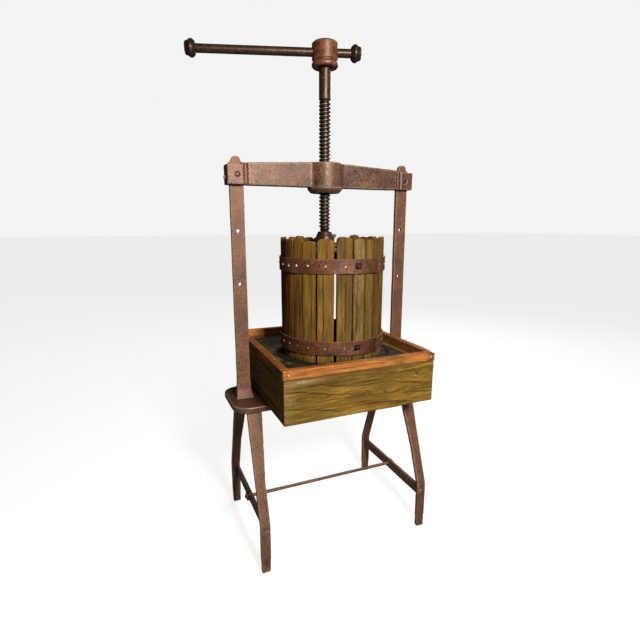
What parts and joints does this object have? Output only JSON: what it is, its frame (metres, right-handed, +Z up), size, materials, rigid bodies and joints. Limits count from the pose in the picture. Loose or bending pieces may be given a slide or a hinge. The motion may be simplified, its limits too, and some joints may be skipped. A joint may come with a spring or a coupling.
{
  "type": "cider press",
  "caption": "Antique floor-standing cider press: a rusty iron frame with a hand-turned screw over a wooden tray and a hinged slatted basket",
  "frame": {"origin": "on the floor, under the axis of the screw", "axes": "+X to the right along the crossbeam, +Y to the rear, +Z up along the screw"},
  "size_m": [0.6494, 0.477, 1.398],
  "materials": {
    "rusty_bar_iron": "rusted and pitted wrought bar",
    "rusty_cast_iron": "rusted rough casting",
    "dark_screw_iron": "dark, worn and slightly rusty",
    "red_head_iron": "rusted casting with a smooth skin",
    "hoop_iron": "rusted strap iron",
    "nail_iron": "rusted nails, some worn bright",
    "tray_wood": "weathered, cracked and stained",
    "strip_wood": "worn orange-brown edge strips",
    "bed_wood": "juice-stained dark bed",
    "stave_wood": "weathered slats, unevenly stained",
    "follower_wood": "juice-stained boards"
  },
  "bodies": {
    "frame": {"left_upright": "rusty_bar_iron", "right_upright": "rusty_bar_iron", "crossbeam": "rusty_cast_iron", "screw_nut": "rusty_cast_iron", "jaw_pins": "nail_iron", "jaw_set_screws": "nail_iron", "left_shoe": "rusty_cast_iron", "right_shoe": "rusty_cast_iron", "front_left_leg": "rusty_bar_iron", "rear_left_leg": "rusty_bar_iron", "front_right_leg": "rusty_bar_iron", "rear_right_leg": "rusty_bar_iron", "left_stretcher": "rusty_bar_iron", "right_stretcher": "rusty_bar_iron", "tie_rod": "rusty_bar_iron", "tie_rod_nuts": "nail_iron", "front_apron": "tray_wood", "rear_apron": "tray_wood", "left_apron": "tray_wood", "right_apron": "tray_wood", "bed_plank_1": "bed_wood", "bed_plank_2": "bed_wood", "bed_plank_3": "bed_wood", "bed_plank_4": "bed_wood", "front_bearer": "tray_wood", "rear_bearer": "tray_wood", "front_strip": "strip_wood", "rear_strip": "strip_wood", "left_strip": "strip_wood", "right_strip": "strip_wood", "strip_nails": "nail_iron"},
    "press_foot": {"foot_hub": "rusty_cast_iron", "foot_set_screw": "nail_iron", "foot_plate": "rusty_cast_iron", "foot_bolts": "nail_iron"},
    "screw": {"screw": "dark_screw_iron", "screw_head": "red_head_iron"},
    "handle": {"handle_bar": "dark_screw_iron", "left_knob": "dark_screw_iron", "right_knob": "dark_screw_iron"},
    "follower": {"left_follower_board": "follower_wood", "right_follower_board": "follower_wood", "front_follower_batten": "follower_wood", "rear_follower_batten": "follower_wood", "follower_nails": "nail_iron"},
    "basket_left": {"left_staves": "stave_wood", "upper_left_hoop": "hoop_iron", "lower_left_hoop": "hoop_iron", "left_hoop_nails": "nail_iron", "hinge_pin": "hoop_iron"},
    "basket_right": {"right_staves": "stave_wood", "upper_right_hoop": "hoop_iron", "lower_right_hoop": "hoop_iron", "right_hoop_nails": "nail_iron", "hasp_studs": "nail_iron"},
    "hasps": {"upper_hasp": "hoop_iron", "lower_hasp": "hoop_iron"}
  },
  "joints": [
    {"name": "press_travel", "type": "slide", "parent": "frame", "child": "press_foot", "axis": [0, 0, 1], "range_m": [-0.165, 0.1]},
    {"name": "screw_turn", "type": "hinge", "parent": "press_foot", "child": "screw", "pos_m": [0, 0, 0.9], "axis": [0, 0, 1], "range_deg": [-5940, 3600]},
    {"name": "handle_slide", "type": "slide", "parent": "screw", "child": "handle", "axis": [0.9532, -0.3024, 0], "range_m": [-0.032, 0.3]},
    {"name": "basket_lift", "type": "slide", "parent": "frame", "child": "basket_left", "axis": [0, 0, 1], "range_m": [0, 0.06]},
    {"name": "basket_open", "type": "hinge", "parent": "basket_left", "child": "basket_right", "pos_m": [0.009, 0.1252, 0.7], "axis": [0, 0, 1], "range_deg": [0, 16]},
    {"name": "hasps_spring", "type": "hinge", "parent": "basket_left", "child": "hasps", "pos_m": [-0.00955, -0.18307, 0.7], "axis": [0, 0, 1], "range_deg": [-32, 0], "deforming": ["upper_hasp", "lower_hasp"]},
    {"name": "follower_lift", "type": "slide", "parent": "frame", "child": "follower", "axis": [0, 0, 1], "range_m": [0, 0.07]}
  ],
  "couplings": [
    {"joint": "press_travel", "follows": "screw_turn", "m_per_rad": 0.0015915},
    {"joint": "hasps_spring", "follows": "basket_open", "ratio": -2}
  ]
}
